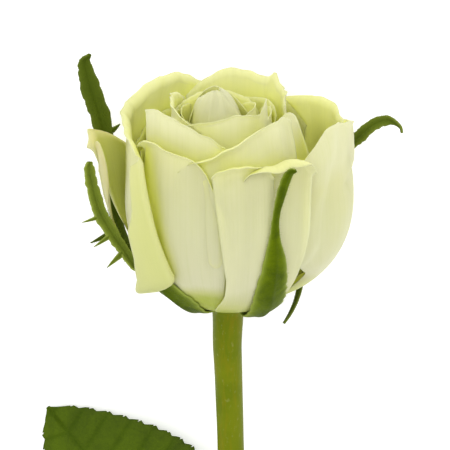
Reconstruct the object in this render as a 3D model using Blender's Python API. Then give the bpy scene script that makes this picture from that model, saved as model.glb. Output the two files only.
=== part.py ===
"""A cut rose lying on a table: one stem with its receptacle, five sepals, thirty-one petals and two leaves.

The flower and stem are drawn upright in the flower's own frame: the flower's axis is +Z, the top of the
stem is z = 0 and the side that ends up on top is -Y. The flower empty then lays them down, with the head
towards +Y, at the pitch where the head and the cut end both touch the table. The leaves are drawn
straight onto the table, which is z = 0, and the rose empty centres everything on the origin.
"""

import math

import bmesh
import bpy
from mathutils import Matrix, Vector

MM = 0.001
GAP = 0.3 * MM

# The head: the widest petal, the height where petals are widest, and the height of a tall petal.
HEAD_RADIUS = 31 * MM
BELLY_HEIGHT = 28.5 * MM
HEAD_HEIGHT = 60 * MM

# The receptacle's flat top, which carries the petals, and the ring that the outermost petal stands on.
SEAT_HEIGHT = 2.5 * MM
SEAT_RADIUS = 6.8 * MM
PETAL_RING = 6.0 * MM

# The stem below the receptacle.
STEM_LENGTH = 232 * MM
STEM_RADIUS = 3.3 * MM
STEM_SIDES = 14

# Petals grow from a narrow claw to their full width, and are thick at the claw and thin above.
CLAW_HALF_WIDTH = 13.0
FULL_WIDTH_HEIGHT = 15 * MM
HALF_THICKNESS = 0.24 * MM
CLAW_THICKENING = 0.5 * MM
PETAL_CELL = 5.5 * MM
LOW_ROWS = (0.0, 0.7 * MM, 2.4 * MM, 6.0 * MM, 12.0 * MM, 18.5 * MM, BELLY_HEIGHT)
HIGH_ROWS = 3

# Where the two leaves leave the stem, measured down from the flower.
UPPER_NODE = 120 * MM
LOWER_NODE = 180 * MM

# Each petal, from the outside in: name, azimuth of its middle and half of its width in degrees (0 is the
# right, -90 the front), the size of the shell it lies on at its clockwise and counter-clockwise edges,
# the height of its rim above the seat, and how far the rim leans out.
PETALS = (
    ("petal_guard_left", 156, 26, 30.2, 29.9, 44, 5.0),
    ("petal_guard_left_front", -172, 14, 28.7, 28.7, 41, 2.0),
    ("petal_outer_right", -2, 46, 25.4, 31.4, 49, 0.5),
    ("petal_outer_front_right", -57, 26, 26.6, 27.7, 46, 0.0),
    ("petal_outer_front", -84, 17, 28.3, 28.3, 45, 0.0),
    ("petal_outer_front_left", -121, 33, 26.0, 25.6, 49, 0.0),
    ("petal_outer_left", 158, 58, 26.0, 27.4, 53, 0.0),
    ("petal_outer_right_back", 36, 42, 27.2, 28.6, 50, 0.0),
    ("petal_outer_back", 95, 50, 27.0, 28.6, 48, 0.0),
    ("petal_middle_front_left", -132, 50, 23.8, 22.5, 55, 0.0),
    ("petal_middle_front", -74, 45, 23.9, 22.6, 53, 0.0),
    ("petal_middle_right", -18, 50, 19.8, 23.4, 55, 0.0),
    ("petal_middle_back_right", 55, 55, 21.0, 24.0, 56, 0.0),
    ("petal_middle_back", 122, 48, 21.8, 24.0, 55, 0.0),
    ("petal_middle_left", -175, 45, 22.6, 21.7, 55, 0.0),
    ("petal_inner_left", -168, 65, 19.4, 19.5, 58, 0.0),
    ("petal_inner_front", -62, 62, 17.6, 18.3, 57, 0.0),
    ("petal_inner_right_back", 45, 62, 16.4, 19.6, 58, 0.0),
    ("petal_inner_back", 130, 55, 16.6, 18.1, 58, 0.0),
    ("petal_fifth_front_left", -140, 65, 16.3, 15.6, 57, 0.0),
    ("petal_fifth_right", -25, 65, 13.6, 14.6, 57, 0.0),
    ("petal_fifth_back", 95, 65, 12.7, 14.8, 57, 0.0),
    ("petal_heart_1", -150, 75, 13.0, 11.6, 56, 0.0),
    ("petal_heart_2", -20, 80, 10.0, 11.1, 56, 0.0),
    ("petal_heart_3", 110, 80, 9.3, 10.8, 56, 0.0),
    ("petal_heart_4", -130, 85, 9.2, 8.2, 55, 0.0),
    ("petal_heart_5", 0, 90, 6.8, 7.6, 54, 0.0),
    ("petal_heart_6", 150, 90, 6.2, 6.0, 54, 0.0),
    ("petal_heart_7", -70, 95, 4.8, 4.6, 53, 0.0),
    ("petal_heart_8", 80, 110, 3.4, 3.4, 52, 0.0),
    ("petal_heart_9", -120, 120, 2.2, 2.2, 51, 0.0),
)

# Each sepal: name, and its midline as (azimuth, radius, height, half width), from its seat to its tip.
SEPALS = (
    ("sepal_front", (
        (-52, 7.0, 1.9, 2.6), (-54, 12.5, 1.8, 4.2), (-59, 18.8, 5.2, 4.6), (-64, 25.0, 12.0, 3.9),
        (-66, 28.9, 21.0, 2.6), (-67, 29.8, 30.0, 1.2), (-65, 30.2, 38.0, 1.2), (-62, 31.2, 45.5, 1.3),
        (-58, 33.0, 48.0, 0.5),
    )),
    ("sepal_front_left", (
        (-130, 7.0, 1.9, 2.6), (-136, 12.5, 1.7, 4.2), (-144, 19.0, 4.6, 4.2), (-152, 24.6, 9.4, 2.4),
        (-162, 28.6, 15.5, 1.5), (-168, 31.4, 23.0, 1.6), (-171, 33.8, 30.5, 2.0), (-172, 35.6, 38.0, 1.8),
        (-172, 35.2, 42.0, 0.6),
    )),
    ("sepal_back_left", (
        (150, 7.0, 1.9, 2.6), (150, 13.0, 1.5, 4.0), (152, 21.0, 3.6, 4.0), (154, 29.2, 12.0, 2.4),
        (155, 35.2, 27.0, 1.8), (157, 39.4, 43.0, 2.4), (160, 39.6, 54.0, 2.4), (163, 38.4, 62.0, 1.4),
        (166, 36.4, 65.0, 0.5),
    )),
    ("sepal_back_right", (
        (78, 7.0, 1.9, 2.6), (74, 13.0, 1.5, 4.0), (66, 21.0, 3.4, 3.8), (54, 29.4, 10.0, 2.4),
        (38, 34.2, 22.0, 1.4), (26, 36.6, 32.0, 1.7), (19, 40.6, 39.0, 1.9), (15, 45.0, 42.6, 1.2),
        (13, 48.0, 41.6, 0.5),
    )),
    ("sepal_right", (
        (14, 7.0, 1.9, 2.6), (14, 12.0, 1.2, 3.6), (12, 17.0, 1.6, 2.6), (8, 20.6, 1.2, 1.5),
        (4, 22.0, -2.0, 1.2), (0, 20.6, -6.0, 0.8), (-6, 18.0, -9.0, 0.4),
    )),
)
SEPAL_THICKNESS = 0.8 * MM

# Prickles: distance down the stem and azimuth in degrees.
PRICKLES = ((58, -150), (83, 15), (108, -70), (139, -170), (161, -20), (196, -135), (212, 10))
PRICKLE_LENGTH = 5.0 * MM
PRICKLE_RADIUS = 2.0 * MM

LEAF_THICKNESS = 0.6 * MM
LEAFLET_ROWS = 9
RACHIS_RADIUS = 0.95 * MM

PETAL_CREAM = (0.66, 0.66, 0.38)
GUARD_GREEN = (0.38, 0.39, 0.08)
SEPAL_GREEN = (0.12, 0.18, 0.01)
LEAF_GREEN = (0.08, 0.13, 0.01)
STEM_GREEN = (0.13, 0.17, 0.01)


def clear_scene():
    for obj in list(bpy.data.objects):
        bpy.data.objects.remove(obj)


def material(name, colour, roughness):
    made = bpy.data.materials.new(name)
    made.use_nodes = True
    shader = made.node_tree.nodes["Principled BSDF"]
    shader.inputs["Base Color"].default_value = (*colour, 1.0)
    shader.inputs["Roughness"].default_value = roughness
    shader.inputs["Metallic"].default_value = 0.0
    return made


def add_empty(name, parent=None):
    empty = bpy.data.objects.new(name, None)
    bpy.context.scene.collection.objects.link(empty)
    empty.parent = parent
    return empty


def add_object(name, mesh_data, finish, parent):
    """A node from a bmesh: its normals are made to point out and it is shaded smooth."""
    bmesh.ops.recalc_face_normals(mesh_data, faces=mesh_data.faces)
    mesh = bpy.data.meshes.new(name)
    mesh_data.to_mesh(mesh)
    mesh_data.free()
    mesh.shade_smooth()
    mesh.set_sharp_from_angle(angle=math.radians(50))
    mesh.materials.append(finish)
    obj = bpy.data.objects.new(name, mesh)
    bpy.context.scene.collection.objects.link(obj)
    obj.parent = parent
    return obj


def polar(azimuth, radius, height):
    angle = math.radians(azimuth)
    return Vector((radius * math.cos(angle), radius * math.sin(angle), height))


def smooth_step(value):
    value = min(max(value, 0.0), 1.0)
    return value * value * (3 - 2 * value)


def smooth_path(points, count):
    """count tuples read evenly from a Catmull-Rom curve through the given tuples."""
    padded = [points[0], *points, points[-1]]
    spans = len(points) - 1
    path = []
    for i in range(count):
        place = i * spans / (count - 1)
        k = min(int(place), spans - 1)
        t = place - k
        sample = []
        for a, b, c, d in zip(*padded[k:k + 4]):
            bend = (2 * a - 5 * b + 4 * c - d) * t * t + (3 * b - a - 3 * c + d) * t ** 3
            sample.append(0.5 * (2 * b + (c - a) * t + bend))
        path.append(tuple(sample))
    return path


def sheet_solid(rows):
    """A closed bmesh from rows of (upper, lower) point pairs: both faces and the wall round the edge."""
    mesh_data = bmesh.new()
    upper = [[mesh_data.verts.new(pair[0]) for pair in row] for row in rows]
    lower = [[mesh_data.verts.new(pair[1]) for pair in row] for row in rows]
    last_row = len(rows) - 1
    last_column = len(rows[0]) - 1
    for i in range(last_row):
        for j in range(last_column):
            mesh_data.faces.new((upper[i][j], upper[i][j + 1], upper[i + 1][j + 1], upper[i + 1][j]))
            mesh_data.faces.new((lower[i][j], lower[i + 1][j], lower[i + 1][j + 1], lower[i][j + 1]))
    edge = [(0, j) for j in range(last_column)]
    edge += [(i, last_column) for i in range(last_row)]
    edge += [(last_row, j) for j in range(last_column, 0, -1)]
    edge += [(i, 0) for i in range(last_row, 0, -1)]
    for (i, j), (k, m) in zip(edge, edge[1:] + edge[:1]):
        mesh_data.faces.new((upper[i][j], lower[i][j], lower[k][m], upper[k][m]))
    return mesh_data


def tube_solid(centres, radii, sides):
    """A closed bmesh tube with flat ends: a ring of points square to the path at each centre."""
    mesh_data = bmesh.new()
    rings = []
    side = Vector((1, 0, 0))
    for i, centre in enumerate(centres):
        before = centres[max(i - 1, 0)]
        after = centres[min(i + 1, len(centres) - 1)]
        along = (after - before).normalized()
        side = (side - along * side.dot(along)).normalized()
        other = along.cross(side)
        ring = []
        for k in range(sides):
            turn = math.tau * k / sides
            spoke = side * math.cos(turn) + other * math.sin(turn)
            ring.append(mesh_data.verts.new(centre + spoke * radii[i]))
        rings.append(ring)
    for first, second in zip(rings, rings[1:]):
        for k in range(sides):
            n = (k + 1) % sides
            mesh_data.faces.new((first[k], first[n], second[n], second[k]))
    mesh_data.faces.new(rings[0][::-1])
    mesh_data.faces.new(rings[-1])
    return mesh_data


def shell_radius(size, height):
    """Radius of the petal shell of that size at a height above the seat. A bigger shell is outside a
    smaller one at every height, so petals on different shells never cross."""
    openness = size / HEAD_RADIUS
    ring = PETAL_RING * openness
    rise = min(height / BELLY_HEIGHT, 1.0)
    belly = math.sqrt(1 - (1 - rise) ** 2.2)
    above = max(height - BELLY_HEIGHT, 0.0) / (HEAD_HEIGHT - BELLY_HEIGHT)
    closing = 1 - 0.22 * above * (1 - openness)
    return (ring + (size - ring) * belly) * closing


def petal_rows(azimuth, half_width, size_low, size_high, rim, lean):
    """Point pairs of a petal, row by row from its claw to its rim, which is lower at the corners."""
    levels = len(LOW_ROWS) + HIGH_ROWS
    rows = [[] for _ in range(levels)]
    columns = max(8, round(math.radians(2 * half_width) * size_high / PETAL_CELL))
    for j in range(columns + 1):
        across = 2 * j / columns - 1
        size = (size_low + size_high) / 2 + (size_high - size_low) / 2 * across
        top = rim * (1 - 0.25 * abs(across) ** 3.5)
        for i in range(levels):
            if i < len(LOW_ROWS):
                height = LOW_ROWS[i]
            else:
                share = (i - len(LOW_ROWS) + 1) / HIGH_ROWS
                height = LOW_ROWS[-1] + (top - LOW_ROWS[-1]) * share
            widening = smooth_step(height / FULL_WIDTH_HEIGHT)
            spread = CLAW_HALF_WIDTH + (half_width - CLAW_HALF_WIDTH) * widening
            half = HALF_THICKNESS + CLAW_THICKENING * (1 - smooth_step(height / (6 * MM)))
            out = lean * max((height - BELLY_HEIGHT) / (HEAD_HEIGHT - BELLY_HEIGHT), 0.0)
            place = SEAT_HEIGHT + GAP + height
            turn = azimuth + across * spread
            outer = polar(turn, shell_radius(size + half, height) + out, place)
            inner = polar(turn, shell_radius(size - half, height) + out, place)
            rows[i].append((outer, inner))
    return rows


def build_petals(parent):
    cream = material("petal", PETAL_CREAM, 0.55)
    green = material("guard_petal", GUARD_GREEN, 0.55)
    for name, azimuth, half_width, size_low, size_high, rim, lean in PETALS:
        rows = petal_rows(azimuth, half_width, size_low * MM, size_high * MM, rim * MM, lean * MM)
        finish = green if name.startswith("petal_guard") else cream
        add_object(name, sheet_solid(rows), finish, parent)


def ribbon_rows(midline, outward, thickness, cupping):
    """Point pairs of a leaf-like ribbon: midline is [(point, half width)], outward gives the direction
    that its back faces, and cupping lifts its edges away from that."""
    rows = []
    for i, (point, half) in enumerate(midline):
        before = midline[max(i - 1, 0)][0]
        after = midline[min(i + 1, len(midline) - 1)][0]
        along = (after - before).normalized()
        back = outward(point)
        side = along.cross(back).normalized()
        back = side.cross(along).normalized()
        row = []
        for across in (-1.0, -0.5, 0.0, 0.5, 1.0):
            middle = point + side * (half * across) - back * (cupping * half * across ** 2)
            row.append((middle + back * (thickness / 2), middle - back * (thickness / 2)))
        rows.append(row)
    return rows


def build_sepals(parent):
    finish = material("sepal", SEPAL_GREEN, 0.5)

    def away_from_flower(point):
        return Vector((point.x, point.y, -0.6 * (HEAD_RADIUS - min(point.z, HEAD_RADIUS))))

    for name, stations in SEPALS:
        midline = []
        for azimuth, radius, height, half in smooth_path(stations, 2 * len(stations)):
            midline.append((polar(azimuth, radius * MM, height * MM), half * MM))
        rows = ribbon_rows(midline, away_from_flower, SEPAL_THICKNESS, 0.12)
        add_object(name, sheet_solid(rows), finish, parent)


def stem_centre(depth):
    """Centre of the stem at a distance below the flower. It leans and bends a little, as grown."""
    share = depth / STEM_LENGTH
    lean = 3.2 * share * (1 - share) + math.sin(math.tau * share) - 0.6 * smooth_step(depth / (12 * MM))
    return Vector((lean * MM, 1.2 * MM * math.sin(math.pi * share), -depth))


def stem_radius(depth):
    """The neck under the flower is thick, the middle thinner, and the stem swells at each leaf node."""
    neck = 0.7 * MM * math.exp(-depth / (16 * MM))
    node = 0.0
    for place in (UPPER_NODE, LOWER_NODE):
        node += 0.5 * MM * math.exp(-((depth - place) / (5 * MM)) ** 2)
    return STEM_RADIUS + neck + node + 0.25 * MM * depth / STEM_LENGTH


def build_stem(parent):
    """The stem with its receptacle, joined to its prickles and cut off at a slant."""
    finish = material("stem", STEM_GREEN, 0.45)
    cup = ((0.0, 4.0 * MM), (0.25, 5.2 * MM), (0.45, SEAT_RADIUS), (1.0, SEAT_RADIUS))
    centres = [Vector((0, 0, SEAT_HEIGHT * share)) for share, _ in cup[::-1]]
    radii = [radius for _, radius in cup[::-1]]
    steps = 40
    for k in range(1, steps + 1):
        depth = STEM_LENGTH * k / steps
        centres.append(stem_centre(depth))
        radii.append(stem_radius(depth))
    stem = add_object("stem", tube_solid(centres, radii, STEM_SIDES), finish, parent)

    cones = bmesh.new()
    for depth, azimuth in PRICKLES:
        centre = stem_centre(depth * MM)
        out = (polar(azimuth, 1.0, 0.0) + Vector((0, 0, -0.45))).normalized()
        turn = Vector((0, 0, 1)).rotation_difference(out).to_matrix().to_4x4()
        middle = stem_radius(depth * MM) - 1.0 * MM + PRICKLE_LENGTH / 2
        bmesh.ops.create_cone(
            cones, cap_ends=True, segments=8, radius1=PRICKLE_RADIUS, radius2=0.25 * MM,
            depth=PRICKLE_LENGTH, matrix=Matrix.Translation(centre + out * middle) @ turn,
        )
    prickles = add_object("prickles_to_join", cones, finish, parent)

    slant = bmesh.new()
    bmesh.ops.create_cube(slant, size=30 * MM)
    cutter = add_object("slanting_cut", slant, finish, parent)
    cutter.rotation_euler = (math.radians(40), 0, 0)
    cutter.location = stem_centre(STEM_LENGTH) + cutter.rotation_euler.to_matrix() @ Vector((0, 0, -19 * MM))

    for helper, operation in ((prickles, "UNION"), (cutter, "DIFFERENCE")):
        helper.hide_render = True
        helper.display_type = "WIRE"
        join = stem.modifiers.new(helper.name, "BOOLEAN")
        join.operation = operation
        join.object = helper
    return stem


def world_points(objects):
    graph = bpy.context.evaluated_depsgraph_get()
    points = []
    for obj in objects:
        evaluated = obj.evaluated_get(graph)
        mesh = evaluated.to_mesh()
        points += [evaluated.matrix_world @ vertex.co for vertex in mesh.vertices]
        evaluated.to_mesh_clear()
    return points


def lay_down(flower, stem):
    """Turns the upright flower onto its back so that the head and the cut end both touch the table."""
    bpy.context.view_layer.update()
    head = [obj for obj in flower.children if obj.name.startswith(("petal", "sepal"))]
    head_points = world_points(head)
    stem_points = [point for point in world_points([stem]) if point.z < -STEM_LENGTH / 2]

    def lowest(points, pitch):
        return min(point.z * math.sin(pitch) - point.y * math.cos(pitch) for point in points)

    low, high = 0.0, math.radians(15)
    for _ in range(30):
        pitch = (low + high) / 2
        if lowest(head_points, pitch) < lowest(stem_points, pitch):
            low = pitch
        else:
            high = pitch
    flower.rotation_euler = (pitch - math.pi / 2, 0, 0)
    flower.location = (0, 0, -lowest(head_points, pitch))
    bpy.context.view_layer.update()


def leaflet_rows(base, tip, half_width, arch):
    """Point pairs of a leaflet from its base to its tip: an oval blade with a folded midrib, whose
    middle stands arch higher than the straight line between its ends."""
    along = tip - base
    flat = Vector((along.x, along.y, 0)).normalized()
    side = Vector((flat.y, -flat.x, 0))
    rows = []
    for i in range(LEAFLET_ROWS):
        share = i / (LEAFLET_ROWS - 1)
        outline = math.sin(math.pi * share ** 0.8) ** 0.75 * (1 - 0.25 * share)
        half = max(half_width * outline, 0.5 * MM)
        centre = base + along * share + Vector((0, 0, arch * math.sin(math.pi * share)))
        row = []
        for across in (-1.0, -0.5, 0.0, 0.5, 1.0):
            droop = arch * math.sin(math.pi * share) * 0.55 * across ** 2
            fold = 0.06 * half * abs(across)
            middle = centre + side * (half * across) + Vector((0, 0, fold - droop))
            lift = Vector((0, 0, LEAF_THICKNESS / 2))
            row.append((middle + lift, middle - lift))
        rows.append(row)
    return rows


# Each leaf: its stem node, its side (-1 is left), its stalk as offsets from the stem node in mm, with y
# along the stem and the height above the table last, and its leaflets: name, how far along the stalk
# it grows, the offset of its tip, its half width and how high it arches, in mm.
LEAVES = (
    ("upper_leaf", UPPER_NODE, -1,
     ((-6.4, 10.0, 12.5), (-6.8, 20.0, 8.6), (-7.0, 31.0, 6.4), (-9.0, 39.0, 5.4)),
     (("tip", 1.0, (-45.6, 86.5), 24.0, 3.6),
      ("left", 0.62, (-51.0, 11.0), 15.0, 3.0),
      ("right", 0.66, (40.0, 44.0), 11.0, 2.2))),
    ("lower_leaf", LOWER_NODE, 1,
     ((8.0, 9.0, 7.6), (16.0, 20.0, 5.8), (29.0, 35.0, 5.0), (36.0, 46.0, 4.4)),
     (("tip", 1.0, (60.0, 92.0), 14.5, 3.0),
      ("left_far", 0.76, (8.0, 74.0), 10.0, 2.4),
      ("right_far", 0.76, (72.0, 28.0), 12.0, 2.6),
      ("left_near", 0.56, (-12.0, 42.0), 7.0, 1.0),
      ("right_near", 0.52, (50.0, -2.0), 10.0, 2.4))),
)


def build_leaf(name, depth, side_sign, stalk, leaflets, finish, flower, rose):
    node = flower.matrix_world @ stem_centre(depth)

    def on_table(offset, height):
        return Vector((node.x + offset[0] * MM, node.y + offset[1] * MM, height))

    start = node + Vector((side_sign * (stem_radius(depth) + GAP), 0, 0))
    route = [tuple(start), tuple(start + Vector((side_sign * 2.0, 0.9, 0)) * MM)]
    route += [tuple(on_table(point, point[2] * MM)) for point in stalk]
    samples = 21
    centres = [Vector(point) for point in smooth_path(route, samples)]
    radii = [RACHIS_RADIUS * (1.1 - 0.35 * k / (samples - 1)) for k in range(samples)]
    add_object(name + "_stalk", tube_solid(centres, radii, 8), finish, rose)
    for blade, share, tip_offset, half, arch in leaflets:
        tip = on_table(tip_offset, LEAF_THICKNESS / 2)
        k = round(share * (samples - 1))
        along = (centres[k] - centres[k - 1]).normalized()
        if share < 1:
            side = (tip - centres[k]) - along * (tip - centres[k]).dot(along)
            base = centres[k] + side.normalized() * (radii[k] + 1.3 * GAP)
        else:
            base = centres[k] + along * GAP
        rows = leaflet_rows(base, tip, half * MM, arch * MM)
        add_object(f"{name}_leaflet_{blade}", sheet_solid(rows), finish, rose)


def build_rose():
    clear_scene()
    rose = add_empty("rose")
    flower = add_empty("flower", rose)
    stem = build_stem(flower)
    build_sepals(flower)
    build_petals(flower)
    lay_down(flower, stem)
    finish = material("leaf", LEAF_GREEN, 0.5)
    for name, depth, side_sign, stalk, leaflets in LEAVES:
        build_leaf(name, depth, side_sign, stalk, leaflets, finish, flower, rose)
    bpy.context.view_layer.update()
    shown = [obj for obj in bpy.data.objects if obj.type == "MESH" and not obj.hide_render]
    points = world_points(shown)
    for axis in (0, 1):
        values = [point[axis] for point in points]
        rose.location[axis] = -(min(values) + max(values)) / 2
    bpy.context.view_layer.update()
    low = min(point.z for point in points)
    pitch = math.degrees(flower.rotation_euler.x) + 90
    print(f"pitch {pitch:.3f}, flower at {tuple(flower.matrix_world.translation)}, lowest {low:.5f}")


build_rose()
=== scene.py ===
import math

import bmesh
import bpy
import numpy as np
from mathutils import Matrix, Vector, noise
from mathutils.bvhtree import BVHTree


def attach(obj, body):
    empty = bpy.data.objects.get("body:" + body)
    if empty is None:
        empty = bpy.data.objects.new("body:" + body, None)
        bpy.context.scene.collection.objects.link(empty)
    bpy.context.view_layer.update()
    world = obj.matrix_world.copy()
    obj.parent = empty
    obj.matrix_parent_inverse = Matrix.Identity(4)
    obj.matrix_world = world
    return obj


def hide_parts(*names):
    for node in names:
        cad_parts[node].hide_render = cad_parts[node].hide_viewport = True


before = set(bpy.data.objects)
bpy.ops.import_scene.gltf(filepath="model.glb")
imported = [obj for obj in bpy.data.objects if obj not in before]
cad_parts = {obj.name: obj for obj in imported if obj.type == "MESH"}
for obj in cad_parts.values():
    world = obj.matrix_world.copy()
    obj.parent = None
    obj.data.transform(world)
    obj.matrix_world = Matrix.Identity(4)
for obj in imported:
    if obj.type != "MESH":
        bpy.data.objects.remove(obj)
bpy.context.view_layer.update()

mm = 0.001

# The flower grew upright: its axis is z, the front is -y and the top of the stem is 0, all in mm.
# It lies on its back at this pitch, with that origin at this place on the table.
lie = {"pitch": 5.369, "place": (-9.99, 82.61, 25.16)}
layDown = Matrix.Translation(Vector(lie["place"]) * mm)
layDown = layDown @ Matrix.Rotation(math.radians(lie["pitch"] - 90), 4, "X") @ Matrix.Scale(mm, 4)


# small helpers
def smoothStep(value):
    value = np.clip(value, 0.0, 1.0)
    return value * value * (3 - 2 * value)


def smoothThrough(values, place):
    # Catmull-Rom through evenly spaced values, read at place 0..1; values may be numbers or points
    values = np.asarray(values, dtype=float)
    spans = len(values) - 1
    padded = np.concatenate([2 * values[:1] - values[1:2], values, 2 * values[-1:] - values[-2:-1]])
    spot = np.clip(np.asarray(place, dtype=float), 0, 1) * spans
    k = np.minimum(spot.astype(int), spans - 1)
    t = spot - k
    if values.ndim > 1:
        t = t[..., None]
    a, b, c, d = (padded[k + i] for i in range(4))
    return b + 0.5 * t * (c - a + t * (2 * a - 5 * b + 4 * c - d + t * (3 * b - a - 3 * c + d)))


def inCamel(node):
    first, *rest = node.split("_")
    return first + "".join(word.capitalize() for word in rest)


def unit(vectors):
    return vectors / np.maximum(np.linalg.norm(vectors, axis=-1, keepdims=True), 1e-12)


def turned(vectors):
    return vectors @ np.array(layDown.to_3x3()).T


def laid(points):
    return turned(points) + np.array(layDown.translation)


def finishPiece(name, mesh, finish, slotName, *nodes):
    if not mesh.materials:
        mesh.materials.append(finish)
    piece = bpy.data.objects.new(name, mesh)
    bpy.context.scene.collection.objects.link(piece)
    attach(piece, "root")
    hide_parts(*nodes)
    return piece


def sheetMesh(name, grid, thickness, tones, place, innerTone=None, shade=1.0):
    # a closed thin sheet round a grid of points; tones is (rise, margin) for each point of the grid,
    # and innerTone is 1 where the inner face has its own colour and 0 where it looks like the outer one
    rows, columns = grid.shape[:2]
    alongRows = np.gradient(grid, axis=0)
    alongColumns = np.gradient(grid, axis=1)
    normal = unit(np.cross(alongColumns, alongRows))
    outer = grid + normal * thickness[..., None] / 2
    inner = grid - normal * thickness[..., None] / 2
    points = np.concatenate([outer.reshape(-1, 3), inner.reshape(-1, 3)])
    number = np.arange(rows * columns).reshape(rows, columns)
    half = rows * columns
    a, b, c, d = number[:-1, :-1], number[:-1, 1:], number[1:, 1:], number[1:, :-1]
    faces = [np.stack([a, b, c, d], -1).reshape(-1, 4), np.stack([a, d, c, b], -1).reshape(-1, 4) + half]
    rim = np.concatenate([number[0, :-1], number[:-1, -1], number[-1, :0:-1], number[:0:-1, 0]])
    after = np.roll(rim, -1)
    faces.append(np.stack([rim, rim + half, after + half, after], -1))
    faces = np.concatenate(faces)
    points = points @ np.array(place.to_3x3()).T + np.array(place.translation)
    mesh = bpy.data.meshes.new(name)
    mesh.from_pydata(points.tolist(), [], faces.tolist())
    rise, margin = (tone.reshape(-1) for tone in tones)
    inside = np.ones(half) if innerTone is None else innerTone.reshape(-1)
    side = np.concatenate([np.zeros(half), inside])
    colour = np.stack([np.tile(rise, 2), side, np.tile(margin, 2), np.full(2 * half, shade)], -1)
    layer = mesh.color_attributes.new("tone", "FLOAT_COLOR", "POINT")
    layer.data.foreach_set("color", colour.reshape(-1).astype(np.float32))
    acrossMap = np.tile(np.linspace(0, 1, columns), (rows, 1)).reshape(-1)
    alongMap = np.tile(np.linspace(0, 1, rows)[:, None], (1, columns)).reshape(-1)
    uvOfPoint = np.tile(np.stack([acrossMap, alongMap], -1), (2, 1))
    corners = np.zeros(len(mesh.loops), dtype=np.int32)
    mesh.loops.foreach_get("vertex_index", corners)
    uvMap = mesh.uv_layers.new(name="across")
    uvMap.data.foreach_set("uv", uvOfPoint[corners].reshape(-1).astype(np.float32))
    mesh.shade_smooth()
    mesh.validate()
    return mesh


# materials
def newMaterial(name, roughness):
    made = bpy.data.materials.new(name)
    made.use_nodes = True
    shader = made.node_tree.nodes["Principled BSDF"]
    shader.inputs["Roughness"].default_value = roughness
    return made, made.node_tree, shader


def addNode(tree, kind, **settings):
    node = tree.nodes.new(kind)
    for key, value in settings.items():
        setattr(node, key, value)
    return node


def linkUp(tree, *pairs):
    for source, target in pairs:
        tree.links.new(source, target)


def addRamp(tree, factor, stops):
    ramp = addNode(tree, "ShaderNodeValToRGB")
    while len(ramp.color_ramp.elements) < len(stops):
        ramp.color_ramp.elements.new(0.5)
    for element, (place, colour) in zip(ramp.color_ramp.elements, stops):
        element.position = place
        element.color = (*colour, 1)
    tree.links.new(factor, ramp.inputs["Fac"])
    return ramp.outputs["Color"]


def addMix(tree, factor, first, second, blend="MIX"):
    mix = addNode(tree, "ShaderNodeMix", data_type="RGBA", blend_type=blend)
    for socket, value in ((mix.inputs[0], factor), (mix.inputs[6], first), (mix.inputs[7], second)):
        if isinstance(value, bpy.types.NodeSocket):
            tree.links.new(value, socket)
        else:
            socket.default_value = value
    return mix.outputs[2]


def addMath(tree, operation, first, second=0.0):
    node = addNode(tree, "ShaderNodeMath", operation=operation)
    for socket, value in zip(node.inputs, (first, second)):
        if isinstance(value, bpy.types.NodeSocket):
            tree.links.new(value, socket)
        else:
            socket.default_value = value
    return node.outputs[0]


def addPast(tree, value, start, gain):
    # (value - start) * gain
    return addMath(tree, "MULTIPLY", addMath(tree, "SUBTRACT", value, start), gain)


def addFrom(tree, low, value, span):
    # low + value * span
    return addMath(tree, "ADD", low, addMath(tree, "MULTIPLY", value, span))


def readTone(tree):
    # rise, side, margin and openness of a sheet, as its mesh carries them; openness, the alpha, is 1 where no
    # painted shade is laid on and lower where it is
    tone = addNode(tree, "ShaderNodeAttribute", attribute_name="tone")
    parts = addNode(tree, "ShaderNodeSeparateColor")
    linkUp(tree, (tone.outputs["Color"], parts.inputs["Color"]))
    return (*parts.outputs, tone.outputs["Alpha"])


def addNoise(tree, vector, scale, detail=3.0, roughness=0.5, distortion=0.0):
    node = addNode(tree, "ShaderNodeTexNoise")
    node.inputs["Scale"].default_value = scale
    node.inputs["Detail"].default_value = detail
    node.inputs["Roughness"].default_value = roughness
    node.inputs["Distortion"].default_value = distortion
    tree.links.new(vector, node.inputs["Vector"])
    return node.outputs["Fac"]


def addBump(tree, shader, height, distance, strength):
    bump = addNode(tree, "ShaderNodeBump")
    bump.inputs["Strength"].default_value = strength
    bump.inputs["Distance"].default_value = distance
    tree.links.new(height, bump.inputs["Height"])
    tree.links.new(bump.outputs["Normal"], shader.inputs["Normal"])


def stretched(tree, vector, scale):
    mapping = addNode(tree, "ShaderNodeMapping")
    mapping.inputs["Scale"].default_value = scale
    tree.links.new(vector, mapping.inputs["Vector"])
    return mapping.outputs["Vector"]


petalFinish = {
    # the crevice colours are painted shade, the saturated yellow-green laid where petals close each other in
    "creviceShade": (0.93, 0.96, 0.12, 1), "guardCreviceShade": (0.34, 0.38, 0.02, 1),
    "outer": ((0.0, (0.36, 0.42, 0.05)), (0.10, (0.52, 0.54, 0.18)), (0.24, (0.67, 0.66, 0.38)),
              (0.62, (0.65, 0.65, 0.33)), (0.86, (0.64, 0.63, 0.30)), (1.0, (0.67, 0.66, 0.36))),
    # inner faces, here and in guardInner, run greener and darker towards the claw: partly their own colour,
    # partly painted shade of the cup
    "inner": ((0.0, (0.42, 0.47, 0.03)), (0.5, (0.62, 0.65, 0.11)), (0.8, (0.71, 0.72, 0.19)),
              (1.0, (0.71, 0.71, 0.28))),
    "guardOuter": ((0.0, (0.24, 0.31, 0.02)), (0.5, (0.46, 0.44, 0.14)), (1.0, (0.54, 0.48, 0.20))),
    "guardInner": ((0.0, (0.30, 0.36, 0.02)), (0.5, (0.50, 0.49, 0.12)), (0.8, (0.56, 0.50, 0.17)),
                   (1.0, (0.48, 0.50, 0.12))),
}


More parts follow.
